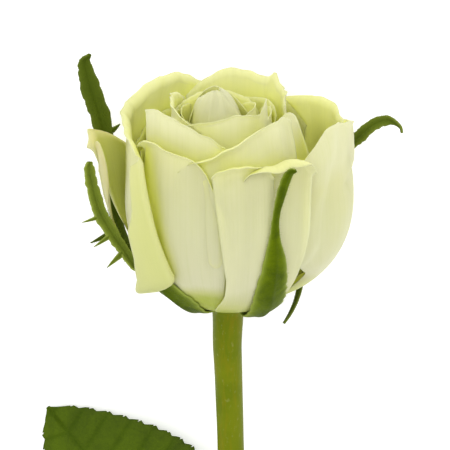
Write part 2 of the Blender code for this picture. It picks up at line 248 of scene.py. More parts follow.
def makePetalMaterial(name, outer, inner, creviceShade):
    made, tree, shader = newMaterial(name, 0.5)
    rise, side, margin, openness = readTone(tree)
    place = addNode(tree, "ShaderNodeTexCoord")
    blotch = addNoise(tree, place.outputs["Object"], 90, 4, 0.55, 0.4)
    # veins fan out from the claw: noise stretched along the petal
    veins = addNoise(tree, stretched(tree, place.outputs["UV"], (46, 2.2, 1)), 1.0, 5, 0.6, 0.25)
    shifted = addMath(tree, "ADD", rise, addPast(tree, blotch, 0.5, 0.16))
    colour = addMix(tree, side, addRamp(tree, shifted, outer), addRamp(tree, shifted, inner))
    colour = addMix(tree, addPast(tree, veins, 0.42, 0.5), colour, (0.50, 0.55, 0.16, 1))
    # painted crevice shade: the less open a point is, the further its colour goes to the crevice colour, a
    # little more on inner faces
    creviceShadeWeight = addFrom(tree, 0.8, side, 0.1)
    closed = addMath(tree, "MULTIPLY", addMath(tree, "SUBTRACT", 1.0, openness), creviceShadeWeight)
    colour = addMix(tree, closed, colour, creviceShade)
    # painted shade along the margins: the rims are taken darker and greener
    paintedRimShade = addMath(tree, "MULTIPLY", addMath(tree, "POWER", margin, 3.0), 0.6)
    colour = addMix(tree, paintedRimShade, colour, (0.52, 0.53, 0.24, 1))
    linkUp(tree, (colour, shader.inputs["Base Color"]),
           (addFrom(tree, 0.44, blotch, 0.16), shader.inputs["Roughness"]))
    shader.inputs["Specular IOR Level"].default_value = 0.28
    shader.inputs["Subsurface Weight"].default_value = 0.4
    shader.inputs["Subsurface Radius"].default_value = (1.0, 1.0, 0.7)
    shader.inputs["Subsurface Scale"].default_value = 0.003
    grain = addNoise(tree, place.outputs["Object"], 1500, 3, 0.6)
    addBump(tree, shader, addFrom(tree, veins, grain, 0.25), 0.00025, 0.35)
    return made


sepalFinish = {"deep": (0.042, 0.070, 0.001), "fresh": (0.130, 0.185, 0.001), "edge": (0.28, 0.34, 0.06),
               "roughness": 0.55, "patches": 160}
leafFinish = {"deep": (0.032, 0.066, 0.000), "fresh": (0.098, 0.165, 0.000), "edge": (0.05, 0.07, 0.01),
              "roughness": 0.5, "patches": 110}


def makeGreenMaterial(name, finish):
    # sepals and leaves: rise runs from the midrib to the edge, margin is the edge itself
    deep, fresh, pale = ((*finish[key], 1) for key in ("deep", "fresh", "edge"))
    made, tree, shader = newMaterial(name, finish["roughness"])
    rise, side, margin, openness = readTone(tree)
    place = addNode(tree, "ShaderNodeTexCoord")
    patch = addNoise(tree, place.outputs["Object"], finish["patches"], 4, 0.6, 0.6)
    cells = addNoise(tree, place.outputs["Object"], finish["patches"] * 14, 3, 0.6)
    mottle = addFrom(tree, addMath(tree, "MULTIPLY", patch, 0.75), cells, 0.25)
    colour = addRamp(tree, mottle, ((0.32, deep[:3]), (0.62, fresh[:3])))
    underside = addMix(tree, 0.5, colour, pale)
    colour = addMix(tree, side, colour, underside)
    ribTint = addMath(tree, "MULTIPLY", addMath(tree, "SUBTRACT", 1.0, rise), 0.55)
    colour = addMix(tree, addMath(tree, "MAXIMUM", ribTint, 0.0), colour, deep)
    colour = addMix(tree, margin, colour, pale)
    # painted shade: the alpha of tone, below 1 on the back sepals, takes the colour towards deep
    colour = addMix(tree, addMath(tree, "SUBTRACT", 1.0, openness), colour, deep)
    linkUp(tree, (colour, shader.inputs["Base Color"]),
           (addFrom(tree, finish["roughness"] - 0.08, cells, 0.2), shader.inputs["Roughness"]))
    shader.inputs["Specular IOR Level"].default_value = 0.035
    addBump(tree, shader, cells, 0.0004, 0.7)
    return made


def makeStemMaterial():
    made, tree, shader = newMaterial("stemRind", 0.42)
    place = addNode(tree, "ShaderNodeTexCoord")
    streaks = addNoise(tree, stretched(tree, place.outputs["Object"], (900, 45, 900)), 1.0, 4, 0.6, 0.8)
    patch = addNoise(tree, place.outputs["Object"], 55, 4, 0.6, 0.5)
    green = addRamp(tree, patch, ((0.35, (0.110, 0.150, 0.001)), (0.65, (0.160, 0.190, 0.002))))
    colour = addMix(tree, addPast(tree, streaks, 0.5, 2.4), green, (0.215, 0.180, 0.002, 1))
    freckles = addNoise(tree, stretched(tree, place.outputs["Object"], (1400, 700, 1400)), 1.0, 2, 0.5)
    pale = addMath(tree, "MAXIMUM", addPast(tree, freckles, 0.62, 2.0), 0.0)
    colour = addMix(tree, pale, colour, (0.34, 0.33, 0.11, 1))
    linkUp(tree, (colour, shader.inputs["Base Color"]),
           (addFrom(tree, 0.32, streaks, 0.25), shader.inputs["Roughness"]))
    shader.inputs["Specular IOR Level"].default_value = 0.08
    addBump(tree, shader, streaks, 0.0003, 0.4)
    return made


petalSkin = makePetalMaterial("petalSkin", *(petalFinish[key] for key in ("outer", "inner", "creviceShade")))
guardSkin = makePetalMaterial("guardPetalSkin",
                              *(petalFinish[key] for key in ("guardOuter", "guardInner", "guardCreviceShade")))
sepalSkin = makeGreenMaterial("sepalSkin", sepalFinish)
leafSkin = makeGreenMaterial("leafBlade", leafFinish)
stemRind = makeStemMaterial()
print("materials made")


# petals: each lies on a shell round the axis, so that wrapped petals stay clear of each other

head = {"radius": 31, "belly": 28.5, "height": 60, "seat": 2.8, "ring": 6.0, "bulge": 2.2,
        "closing": 0.22, "claw": 13, "fullWidthAt": 15, "heartShift": -3.0}


def shellRadius(size, height):
    openness = size / head["radius"]
    ring = head["ring"] * openness
    belly = np.sqrt(1 - (1 - np.clip(height / head["belly"], 0, 1)) ** head["bulge"])
    above = np.clip(height - head["belly"], 0, None) / (head["height"] - head["belly"])
    return (ring + (size - ring) * belly) * (1 - head["closing"] * above * (1 - openness))


def petalColumn(petal, across):
    # radius and height of one line of the petal from its claw over its crest to its rim
    place = (across + 1) / 2
    size = float(smoothThrough(petal["size"], place))
    crest = smoothThrough(petal["rim"], place) - petal.get("corner", 2.0) * abs(across) ** 8
    edgePlace = across * petal["half"] * 0.13
    ruffle = noise.noise(Vector((edgePlace, petal["turn"], 0)))
    crest += petal.get("ruffle", 0.9) * (ruffle + 0.2 * noise.noise(Vector((edgePlace * 2.7, 5, 0))))
    if "dome" in petal:
        # a heart petal closes over the flower's middle like the end of an egg
        spring, top = petal["dome"]
        last = math.asin(min((float(crest) - head["seat"] - spring) / (top - spring), 0.995))
        bend = np.linspace(0, last, 30)
        heights = np.concatenate([np.linspace(0, spring, 16)[:-1], spring + (top - spring) * np.sin(bend)])
        return shellRadius(size, heights) * np.concatenate([np.ones(15), np.cos(bend)]), heights, size
    for turn, height, width in petal.get("tips", ()):
        crest += height * math.exp(-((across * petal["half"] + petal["turn"] - turn) / width) ** 2)
    lip = max(float(smoothThrough(petal["lip"], place)), 0.6)
    roll = math.radians(float(smoothThrough(petal["roll"], place)))
    lean = float(smoothThrough(petal.get("lean", (0, 0)), place))
    closeIn = petal.get("close", 0.0)

    def radiusAt(height):
        out = lean * np.clip((height - 14) / (petal["rim"][2] - 17), 0, 2) ** 1.5
        closed = 1 - closeIn * np.clip((height - 40) / 15, 0, 2) ** 2
        return shellRadius(size, height) * closed + out

    steps = np.linspace(0, 1, 15)
    shoulder = float(crest) - head["seat"] - 0.7 * lip
    for _ in range(3):
        slope = math.atan(float(radiusAt(shoulder + 0.2) - radiusAt(shoulder - 0.2)) / 0.4)
        bend = slope + roll * steps ** petal.get("ease", 1.3)
        forward = np.concatenate([[0], np.cumsum(np.sin(bend[:-1]) * lip / 14)])
        up = np.concatenate([[0], np.cumsum(np.cos(bend[:-1]) * lip / 14)])
        shoulder = float(crest) - head["seat"] - float(up.max())
    low = shoulder * np.linspace(0, 1, 31)[:-1] ** 1.35
    heights = np.concatenate([low, shoulder + up])
    radii = np.concatenate([radiusAt(low), radiusAt(shoulder) + forward])
    return radii, heights, size


def petalGrid(petal, columns):
    rows = []
    angles = []
    across = np.sin(np.linspace(-1, 1, columns) * math.pi / 2 * 0.82) / math.sin(math.pi / 2 * 0.82)
    lowLeft, lowRight = petal.get("low", (0, 0))
    curlLeft, curlRight = petal.get("curl", (0.6, 0.6))
    for spot in across:
        radii, heights, size = petalColumn(petal, spot)
        claw = petal.get("claw", head["claw"])
        spread = claw + (petal["half"] - claw) * smoothStep(heights / head["fullWidthAt"])
        turn = petal["turn"] + spot * spread
        lowness = 1 - np.clip((heights - 15) / 33, 0, 1)
        if "lowTop" in petal:
            lowness = 1 - smoothStep((heights - 6) / (petal["lowTop"] - 6))
        sideShift = lowRight * (1 + spot) / 2 if spot > 0 else 0
        sideShift += lowLeft * (1 - spot) / 2 if spot < 0 else 0
        turn = turn + sideShift * lowness * smoothStep(heights / 10) * abs(spot)
        edge = max(abs(spot) - 0.8, 0) / 0.2
        radii = radii + (curlRight if spot > 0 else curlLeft) * edge ** 2 * smoothStep((heights - 8) / 20)
        rows.append((radii, heights, np.full(len(radii), size)))
        angles.append(turn)
    radii = np.array([row[0] for row in rows]).T
    heights = np.array([row[1] for row in rows]).T
    sizes = np.array([row[2] for row in rows]).T
    return radii, heights, np.array(angles).T, sizes, across


def addCreases(petal, radii, heights, turns):
    # soft folds along lines on the petal: (turn, height) to (turn, height), depth and width
    for fromTurn, fromHeight, toTurn, toHeight, depth, width in petal.get("creases", ()):
        scale = math.radians(1) * petal["size"][0]
        start = np.array((fromTurn * scale, fromHeight))
        line = np.array((toTurn * scale, toHeight)) - start
        x = turns * scale - start[0]
        y = heights - start[1]
        share = np.clip((x * line[0] + y * line[1]) / (line @ line), 0, 1)
        distance = np.hypot(x - share * line[0], y - share * line[1])
        radii = radii - depth * np.exp(-(distance / width) ** 2)
    return radii


# how quickly each kind of wave changes by degrees round the flower, by height and by petal
waveKinds = {"slow": (0.035, 0.055, 7.3), "lively": (0.11, 0.10, 3.1), "pleats": (0.10, 0.018, 5.7)}


def addWaves(petal, radii, heights, turns, seed):
    # slow unevenness all over, a livelier wave towards the rim, and pleats that run up the petal
    slow, lively, pleats = (
        np.array([[noise.noise(Vector((turn * byTurn, height * byHeight, seed * bySeed)))
                   for turn, height in zip(*row)] for row in zip(turns, heights)])
        for byTurn, byHeight, bySeed in waveKinds.values())
    full = smoothStep(heights / 14)
    top = np.clip(heights / np.max(heights), 0, 1) ** 4
    folded = petal.get("pleat", 0.5) * smoothStep((heights - 10) / 24)
    return radii + 0.45 * slow * full + petal.get("wave", 0.35) * lively * top + folded * pleats


def addFold(petal, radii, heights, turns, sizes):
    # the margin past the last column is folded outwards and back over the petal
    fold = petal["fold"]
    widths = np.interp(heights[:, -1], fold["at"], fold["width"])
    widths[30:] *= np.linspace(1, 0.1, len(widths) - 30)
    widths = widths * np.array([1 + 0.09 * noise.noise(Vector((h * 0.22, 3, 1))) for h in heights[:, -1]])
    steps = np.linspace(0, 1, 16)[1:]
    extra = []
    for step in steps:
        along = widths * step
        bend = np.minimum(along / fold["round"], fold["turn"])
        past = along - fold["round"] * bend
        forward = fold["round"] * np.sin(bend) + past * math.cos(fold["turn"])
        out = fold["round"] * (1 - np.cos(bend)) + past * math.sin(fold["turn"])
        drop = fold["drop"] * along * (1 - smoothStep((heights[:, -1] - 8) / 16))
        radius = radii[:, -1] + out + fold["flare"] * step * (1 - smoothStep((heights[:, -1] - 8) / 20))
        extra.append((radius, heights[:, -1] - drop, turns[:, -1] + np.degrees(forward / radius)))
    radii = np.concatenate([radii, np.array([item[0] for item in extra]).T], axis=1)
    heights = np.concatenate([heights, np.array([item[1] for item in extra]).T], axis=1)
    turns = np.concatenate([turns, np.array([item[2] for item in extra]).T], axis=1)
    sizes = np.concatenate([sizes, np.repeat(sizes[:, -1:], len(steps), axis=1)], axis=1)
    return radii, heights, turns, sizes


petalSheet = {"thickness": 0.28, "clawExtra": 0.3, "clawHeight": 9, "rimThinning": 0.12}


def makePetal(petal, seed):
    node = petal["node"]
    columns = max(25, int(petal["half"] * 0.9))
    radii, heights, turns, sizes, across = petalGrid(petal, columns)
    radii = addCreases(petal, radii, heights, turns)
    radii = addWaves(petal, radii, heights, turns, seed)
    edges = np.abs(across) ** 6
    if "fold" in petal:
        radii, heights, turns, sizes = addFold(petal, radii, heights, turns, sizes)
        edges[across > 0] = 0
        # the folded strip counts as margin all over: it is thinner and takes the painted rim shade
        edges = np.concatenate([edges, 0.9 + 0.1 * np.linspace(0, 1, radii.shape[1] - len(across)) ** 4])
    angle = np.radians(turns)
    # the heart stands a little to the left of the flower's axis
    aside = head["heartShift"] * np.clip((20 - sizes) / 14, 0, 1) * heights / 55
    grid = np.stack([radii * np.cos(angle) + aside, radii * np.sin(angle), heights + head["seat"]], -1)
    rows = grid.shape[0]
    run = np.linspace(0, 1, rows)[:, None]
    rim = np.maximum(run ** 14, edges[None, :])
    low = 1 - smoothStep(heights / petalSheet["clawHeight"])
    thickness = petalSheet["thickness"] + petalSheet["clawExtra"] * low - petalSheet["rimThinning"] * rim
    rise = heights / 52 * petal.get("tint", 1.0) - petal.get("green", 0) * (1 - smoothStep((heights - 7) / 6))
    # painted shade: the folded strip faces the light, so its columns are painted darker (rise times 0.88)
    rise = np.clip(rise * np.where(np.arange(grid.shape[1]) < len(across), 1.0, 0.88), 0, 1)
    inside = np.ones(rows)[:, None] * np.where(np.arange(grid.shape[1]) < len(across), 1.0, 0.75)
    mesh = sheetMesh(inCamel(node), grid, thickness, (rise, rim * np.ones_like(rise)), layDown, inside)
    guard = node.startswith("petal_guard")
    skin = guardSkin if guard else petalSkin
    piece = finishPiece(inCamel(node), mesh, skin, "guard_petal" if guard else "petal", node)
    piece["rows"], piece["columns"] = grid.shape[:2]
    # how strongly painted crevice shade is laid on this petal
    piece["creviceShade"] = petal.get("creviceShade", 1.0)
    return piece


# rim is the height of the crest at five places from the petal's clockwise side to the other one; there
# lip is the length that rolls out past the shoulder and roll is how far it turns, in degrees
guardPetals = [
    {"node": "petal_guard_left", "turn": 160, "half": 26, "size": (28.4, 28.0), "lean": (0, 0.5, 2, 4, 5),
     "low": (0, -22), "rim": (33, 38, 42.5, 46, 45), "lip": (3, 4, 4, 4, 3), "roll": (60, 80, 90, 90, 70),
     "wave": 1.2},
    {"node": "petal_guard_left_front", "turn": 186, "half": 10, "size": (28.9, 28.9), "lean": (5.5, 2),
     "low": (0, -14), "rim": (38, 44, 46, 43, 32), "lip": (1, 1, 1, 1, 1), "roll": (20, 20, 20, 20, 20),
     "wave": 0.5, "tint": 1.3},
]
outerPetals = [
    {"node": "petal_outer_right", "turn": -2, "half": 46, "size": (25.4, 29.0, 31.2, 31.6, 31.0),
     "rim": (45, 53, 50.2, 46, 44), "lip": (1.5, 1.6, 1.8, 2, 2), "roll": (30, 30, 35, 50, 60), "close": 0.14,
     "low": (20, 4), "lowTop": 22, "corner": 1.2, "wave": 0.9, "tint": 1.3,
     "creases": ((-16, 46, -34, 24, 1.3, 3.0), (-4, 44, -14, 38, 0.9, 2.0), (-24, 30, -30, 14, 0.8, 2.4),
                 (8, 35, -10, 33, 1.5, 2.3), (-20, 34, -34, 12, 0.6, 3.0))},
    {"node": "petal_outer_front_right", "turn": -62, "half": 20, "size": (26.5, 27.4), "claw": 18,
     "rim": (46.5, 48, 48.8, 48.6, 46), "lip": (2.5, 4.5, 6, 5.5, 2.5), "roll": (60, 140, 155, 145, 80),
     "ease": 0.8, "low": (0, -4), "curl": (0.2, 1.2), "tint": 1.1,
     "creases": ((-56, 44, -56, 16, 0.5, 4.0),)},
    {"node": "petal_outer_front", "turn": -83, "half": 17, "size": (27.4, 28.2), "claw": 21, "low": (9, 0),
     "rim": (46.6, 48.2, 48.9, 48.2, 46), "lip": (2, 2.8, 3, 2.6, 1.8), "roll": (90, 110, 120, 100, 60),
     "corner": 1.0, "curl": (-0.5, -0.4),
     "creases": ((-90, 42.5, -74, 43.5, 1.3, 2.2), (-93, 38, -88, 26, 0.5, 1.8),
                 (-76, 38, -80, 16, 0.5, 2.2))},
    {"node": "petal_outer_front_left", "turn": -119.5, "half": 28, "size": (25.0, 25.9, 25.8), "claw": 25,
     "rim": (50.8, 51.2, 50.6, 47.8, 37), "lip": (4, 2.8, 2.2, 2.4, 2.4), "roll": (120, 100, 90, 90, 90),
     "curl": (0.0, 0.8), "green": 0.18,
     "creases": ((-103, 42, -98, 20, 1.1, 2.6), (-128, 42, -122, 10, -0.5, 5.0),
                 (-138, 44, -134, 16, 0.7, 2.6), (-112, 30, -110, 12, 0.4, 2.0))},
    {"node": "petal_outer_left", "turn": 158, "half": 60, "size": (26.0, 26.0, 25.8, 25.8, 27.4),
     "rim": (51.5, 56, 53, 52, 50.2), "lip": (2.5, 3.2, 4.2, 5, 3.6), "roll": (60, 90, 105, 105, 90),
     "low": (0, 20), "wave": 0.7, "close": 0.16,
     "fold": {"at": (6, 7, 8.5, 10.5, 13.4, 17.2, 21, 26.7, 31.5, 36.2, 42, 45.5, 48.5),
              "width": (0.5, 2.2, 4.6, 8.4, 11.4, 10.4, 10.6, 9.6, 7.2, 6.4, 5.4, 3.6, 1.2),
              "round": 1.0, "turn": 2.95, "drop": 0.24, "flare": 2.6}},
    {"node": "petal_outer_right_back", "turn": 32, "half": 42, "size": (28.4, 28.6),
     "rim": (49.4, 49.6, 50.2, 48.4, 45), "lip": (2, 2.5, 3, 3, 3), "roll": (40, 50, 70, 70, 60), "wave": 0.7,
     "ruffle": 0.5},
    {"node": "petal_outer_back", "turn": 95, "half": 50, "size": (27.0, 28.4),
     "rim": (44, 49, 50, 49, 44), "lip": (3, 3, 3, 3, 3), "roll": (60, 80, 90, 80, 60), "wave": 0.9},
]
middlePetals = [
    {"node": "petal_middle_front_left", "turn": -119, "half": 34, "size": (23.0, 22.4),
     "rim": (57.5, 58.2, 56.6, 54, 50), "lip": (1.6, 1.8, 2, 2, 2), "roll": (30, 50, 60, 70, 70),
     "corner": 0.6, "ruffle": 0.5},
    {"node": "petal_middle_front", "turn": -81, "half": 37, "size": (24.2, 24.8, 25.2, 25.2, 23.4),
     "rim": (47.5, 50, 54.4, 57.2, 57.8), "lip": (3, 4, 4, 2.5, 2), "roll": (110, 120, 110, 70, 40),
     "close": 0.12, "ease": 0.9, "ruffle": 0.6, "creases": ((-70, 52, -58, 42, 0.8, 2.6),)},
    {"node": "petal_middle_right", "turn": -54, "half": 34, "size": (19.4, 19.8, 20.2, 20.8, 21.4),
     "rim": (49.5, 52.5, 55.6, 56.4, 45), "lip": (1, 1, 1.5, 1.5, 1.5), "roll": (20, 20, 30, 40, 40)},
    {"node": "petal_middle_back_right", "turn": 60, "half": 60, "size": (15.2, 17.0, 19.0, 20.8, 21.0),
     "rim": (56.5, 56, 56, 56.5, 52), "lip": (2, 2.5, 2.5, 2.5, 2), "roll": (40, 60, 70, 70, 50), "wave": 0.7,
     "ruffle": 0.4, "tips": ((48, 2.2, 5),)},
    {"node": "petal_middle_back", "turn": 125, "half": 50, "size": (21.0, 23.6),
     "rim": (46, 48, 48, 45, 42), "lip": (2, 2, 2, 2, 2), "roll": (50, 50, 50, 50, 50)},
    {"node": "petal_middle_left", "turn": -175, "half": 45, "size": (22.2, 21.0),
     "rim": (40, 40, 40, 40, 40), "lip": (2, 2, 2, 2, 2), "roll": (50, 50, 50, 50, 50)},
]
innerPetals = [
    {"node": "petal_inner_left", "turn": -165, "half": 64, "size": (15.2, 14.0, 13.8, 16.0, 16.8),
     "rim": (54, 56, 56.6, 55.2, 51.8), "lip": (1.6, 2, 2, 2.2, 1.8), "roll": (60, 70, 80, 80, 60)},
    {"node": "petal_inner_front", "turn": -78, "half": 46, "size": (16.8, 17.2, 17.2, 15.6, 13.4),
     "rim": (54.2, 56.1, 57.6, 56.3, 58.6), "lip": (1.4, 1.6, 1.6, 1.4, 1), "roll": (60, 70, 60, 40, 10),
     "corner": 0.0},
    {"node": "petal_inner_right_back", "turn": 40, "half": 58, "size": (12.6, 13.8, 15.4, 16.8, 17.6),
     "rim": (48, 51, 52, 51, 49), "lip": (1.5, 1.8, 1.8, 1.8, 1.5), "roll": (50, 60, 60, 60, 50)},
    {"node": "petal_inner_back", "turn": 130, "half": 55, "size": (15.0, 13.4, 12.6),
     "rim": (50, 51.5, 52.5, 52, 51), "lip": (1.5, 1.8, 1.8, 1.8, 1.5), "roll": (50, 60, 60, 60, 50)},
    {"node": "petal_fifth_front_left", "turn": -140, "half": 65, "size": (12.2, 12.4, 13.8),
     "rim": (53, 52.5, 51.5, 51, 51), "lip": (1.4, 1.4, 1.4, 1.4, 1.4), "roll": (40, 60, 60, 60, 40)},
    {"node": "petal_fifth_right", "turn": -15, "half": 58, "size": (13.4, 12.6),
     "rim": (50, 52, 53, 53, 51), "lip": (1.4, 1.4, 1.4, 1.4, 1.4), "roll": (30, 50, 50, 50, 30)},
    {"node": "petal_fifth_back", "turn": 95, "half": 60, "size": (11.4, 12.0),
     "rim": (52, 53.5, 54.5, 54, 53), "lip": (1.4, 1.6, 1.6, 1.6, 1.4), "roll": (40, 60, 60, 60, 40)},
]
# inner petals take half the painted crevice shade
for petal in innerPetals:
    petal.update({"ruffle": 0.45, "pleat": 0.3, "creviceShade": 0.5})
heartPetals = [
    {"node": "petal_heart_1", "turn": -150, "half": 75, "size": (10.8, 10.2), "rim": (53, 53, 52, 51.5, 51)},
    {"node": "petal_heart_2", "turn": -20, "half": 80, "size": (9.4, 9.8), "rim": (52, 53, 54.5, 54, 52)},
    {"node": "petal_heart_3", "turn": 110, "half": 85, "size": (8.9, 8.7), "dome": (42.5, 56.7),
     "rim": (52, 56.5, 58.4, 57, 53)},
    {"node": "petal_heart_4", "turn": -112, "half": 95, "size": (8.2, 7.8), "dome": (42.5, 56.2),
     "rim": (54, 57.8, 58.6, 58, 52)},
    {"node": "petal_heart_5", "turn": 0, "half": 115, "size": (7.0, 7.2), "dome": (42.5, 55.8),
     "rim": (58, 58.3, 58.4, 58, 54)},
    {"node": "petal_heart_6", "turn": 150, "half": 110, "size": (6.0, 6.2), "dome": (42.5, 55.2),
     "rim": (57, 57.8, 57.9, 57.8, 57)},
    {"node": "petal_heart_7", "turn": -70, "half": 95, "size": (4.3, 4.3), "dome": (42.5, 54.4),
     "rim": (55, 56.4, 56.9, 56.4, 55)},
    {"node": "petal_heart_8", "turn": 80, "half": 110, "size": (3.1, 3.1), "dome": (42.5, 53.7),
     "rim": (54, 55.8, 56.2, 55.8, 54)},
    {"node": "petal_heart_9", "turn": -120, "half": 120, "size": (1.9, 1.9), "dome": (42.5, 53.0),
     "rim": (54, 55.2, 55.5, 55.2, 54)},
]
# heart petals take 0.4 of the painted crevice shade
for petal in heartPetals:
    petal.update({"lip": (0.9, 1.1, 1.2, 1.1, 0.9), "roll": (20, 30, 40, 30, 20), "wave": 0.15,
                  "corner": 1.0, "pleat": 0.1, "ruffle": 0.25, "creviceShade": 0.4})

petalPieces = []
for ring, petals in enumerate((guardPetals, outerPetals, middlePetals, innerPetals, heartPetals)):
    for k, petal in enumerate(petals):
        petalPieces.append(makePetal(petal, ring * 10 + k))
    print("petals made:", ", ".join(petal["node"] for petal in petals))


def shadeCrevices(petals, rays=12, reach=0.014):
    # painted shade: petals are painted greener, towards the crevice colour, where neighbours close them in
    # and shut out light; alpha of "tone" becomes how open each point is
    points, faces, start = [], [], 0
    for petal in petals:
        count = len(petal.data.vertices)
        where = np.zeros(count * 3, dtype=np.float32)
        petal.data.vertices.foreach_get("co", where)
        points.append(where.reshape(-1, 3))
        faces += [[start + k for k in face.vertices] for face in petal.data.polygons]
        start += count
    tree = BVHTree.FromPolygons(np.concatenate(points).tolist(), faces)
    # directions spread evenly over a sphere
    golden = math.pi * (3 - math.sqrt(5))
    sphere = []
    for k in range(rays):
        up = 1 - (2 * k + 1) / rays
        level = math.sqrt(1 - up ** 2)
        sphere.append(Vector((level * math.cos(k * golden), level * math.sin(k * golden), up)))
    for petal, where in zip(petals, points):
        mesh = petal.data
        normals = np.zeros(len(where) * 3, dtype=np.float32)
        mesh.vertex_normals.foreach_get("vector", normals)
        normals = normals.reshape(-1, 3)
        opened = np.zeros(len(where))
        for k in range(len(where)):
            normal = Vector(normals[k])
            origin = Vector(where[k]) + normal * 0.0004
            hits = [tree.ray_cast(origin, (ray + normal * 1.02).normalized(), reach)[0] for ray in sphere]
            opened[k] = hits.count(None) / rays
        rows, columns = petal["rows"], petal["columns"]
        smooth = opened.reshape(2, rows, columns)
        for _ in range(3):
            padded = np.pad(smooth, ((0, 0), (1, 1), (1, 1)), mode="edge")
            smooth = sum(padded[:, i:i + rows, j:j + columns] for i in range(3) for j in range(3)) / 9
        layer = mesh.color_attributes["tone"]
        colour = np.zeros(len(where) * 4, dtype=np.float32)
        layer.data.foreach_get("color", colour)
        colour = colour.reshape(-1, 4)
        colour[:, 3] = 1 - petal["creviceShade"] * (1 - smoothStep(smooth.reshape(-1) * 1.5))
        layer.data.foreach_set("color", colour.reshape(-1))
        for key in ("rows", "columns", "creviceShade"):
            del petal[key]


shadeCrevices(petalPieces)
print("petal crevices shaded")


# geometry nodes: what bristles and prickles share, then the bristles along an edge
def newShapeTree(name, given, sizes, made):
    # a tree that takes points or lines, a skin and some sizes, and gives back a plain shape
    tree = bpy.data.node_groups.new(name, "GeometryNodeTree")
    sockets = [(given, "Geometry", None), ("Skin", "Material", None)]
    sockets += [(key, "Int" if isinstance(value, int) else "Float", value) for key, value in sizes.items()]
    for key, kind, value in sockets:
        socket = tree.interface.new_socket(key, in_out="INPUT", socket_type="NodeSocket" + kind)
        if value is not None:
            socket.default_value = value
    tree.interface.new_socket(made, in_out="OUTPUT", socket_type="NodeSocketGeometry")
    return tree, addNode(tree, "NodeGroupInput").outputs


def placeCopies(tree, given, points, shape, rotation):
    # a copy of the shape on every point, made real and painted
    instance = addNode(tree, "GeometryNodeInstanceOnPoints")
    realize = addNode(tree, "GeometryNodeRealizeInstances")
    paint = addNode(tree, "GeometryNodeSetMaterial")
    linkUp(tree, (points, instance.inputs["Points"]), (shape, instance.inputs["Instance"]),
           (rotation, instance.inputs["Rotation"]), (instance.outputs[0], realize.inputs[0]),
           (realize.outputs[0], paint.inputs["Geometry"]), (given["Skin"], paint.inputs["Material"]),
           (paint.outputs[0], addNode(tree, "NodeGroupOutput").inputs[0]))
    return instance


def namedDirection(tree, name):
    direction = addNode(tree, "GeometryNodeInputNamedAttribute", data_type="FLOAT_VECTOR")
    direction.inputs["Name"].default_value = name
    return direction.outputs["Attribute"]


def grown(tree, points, edges, directions, settings):
    # runs a tree on points or lines and returns what grew on them as one plain mesh
    mesh = bpy.data.meshes.new("roots")
    mesh.from_pydata([tuple(point) for point in points], edges, [])
    for name, values in directions.items():
        layer = mesh.attributes.new(name, "FLOAT_VECTOR", "POINT")
        layer.data.foreach_set("vector", np.array(values).reshape(-1))
    carrier = bpy.data.objects.new("roots", mesh)
    bpy.context.scene.collection.objects.link(carrier)
    grow = carrier.modifiers.new("grow", "NODES")
    grow.node_group = tree
    for item in tree.interface.items_tree:
        if item.item_type == "SOCKET" and item.in_out == "INPUT" and item.name in settings:
            grow[item.identifier] = settings[item.name]
    carrier.data.update()
    evaluated = carrier.evaluated_get(bpy.context.evaluated_depsgraph_get())
    result = bpy.data.meshes.new_from_object(evaluated)
    bpy.data.objects.remove(carrier)
    bpy.data.meshes.remove(mesh)
    return result


def makeBristleTree():
    sizes = {"Spacing": 0.001, "Hair length": 0.001, "Hair thickness": 0.00005, "Lean": 0.5, "Seed": 1}
    tree, given = newShapeTree("bristlesAlongEdge", "Edge line", sizes, "Bristles")
    toCurve = addNode(tree, "GeometryNodeMeshToCurve")
    resample = addNode(tree, "GeometryNodeResampleCurve", mode="LENGTH")
    hair = addNode(tree, "GeometryNodeMeshCone", fill_type="NGON")
    hair.inputs["Vertices"].default_value = 5
    hair.inputs["Radius Top"].default_value = 0.00001
    stray = addNode(tree, "FunctionNodeRandomValue", data_type="FLOAT_VECTOR")
    stray.inputs["Min"].default_value = (-1, -1, -1)
    stray.inputs["Max"].default_value = (1, 1, 1)
    strayScaled = addNode(tree, "ShaderNodeVectorMath", operation="SCALE")
    direction = addNode(tree, "ShaderNodeVectorMath", operation="ADD")
    align = addNode(tree, "FunctionNodeAlignRotationToVector", axis="Z")
    longness = addNode(tree, "FunctionNodeRandomValue", data_type="FLOAT")
    longness.inputs[2].default_value = 0.35
    longness.inputs[3].default_value = 1.0
    instance = placeCopies(tree, given, resample.outputs["Curve"], hair.outputs["Mesh"],
                           align.outputs["Rotation"])
    linkUp(tree,
           (given["Edge line"], toCurve.inputs["Mesh"]), (toCurve.outputs["Curve"], resample.inputs["Curve"]),
           (given["Spacing"], resample.inputs["Length"]), (given["Hair length"], hair.inputs["Depth"]),
           (given["Hair thickness"], hair.inputs["Radius Bottom"]),
           (given["Seed"], stray.inputs["Seed"]), (given["Seed"], longness.inputs["Seed"]),
           (stray.outputs[0], strayScaled.inputs[0]), (given["Lean"], strayScaled.inputs["Scale"]),
           (namedDirection(tree, "away"), direction.inputs[0]), (strayScaled.outputs[0], direction.inputs[1]),
           (direction.outputs[0], align.inputs["Vector"]), (longness.outputs[1], instance.inputs["Scale"]))
    return tree


def growBristles(lines, settings, skin):
    # lines is a list of (points, away directions)
    points = [point for line, away in lines for point in line]
    edges = []
    start = 0
    for line, away in lines:
        edges += [(start + k, start + k + 1) for k in range(len(line) - 1)]
        start += len(line)
    aways = np.concatenate([np.array(away) for line, away in lines])
    return grown(bristleTree, points, edges, {"away": aways}, {**settings, "Skin": skin})


def joined(name, parts, skin):
    whole = bmesh.new()
    for part in parts:
        whole.from_mesh(part)
    mesh = bpy.data.meshes.new(name)
    whole.to_mesh(mesh)
    whole.free()
    for part in parts:
        bpy.data.meshes.remove(part)
    mesh.materials.clear()
    mesh.materials.append(skin)
    mesh.polygons.foreach_set("material_index", np.zeros(len(mesh.polygons), dtype=np.int32))
    mesh.shade_smooth()
    return mesh


bristleTree = makeBristleTree()


# sepals
def polar(turn, radius, height):
    angle = np.radians(turn)
    return np.stack([radius * np.cos(angle), radius * np.sin(angle), height], -1)


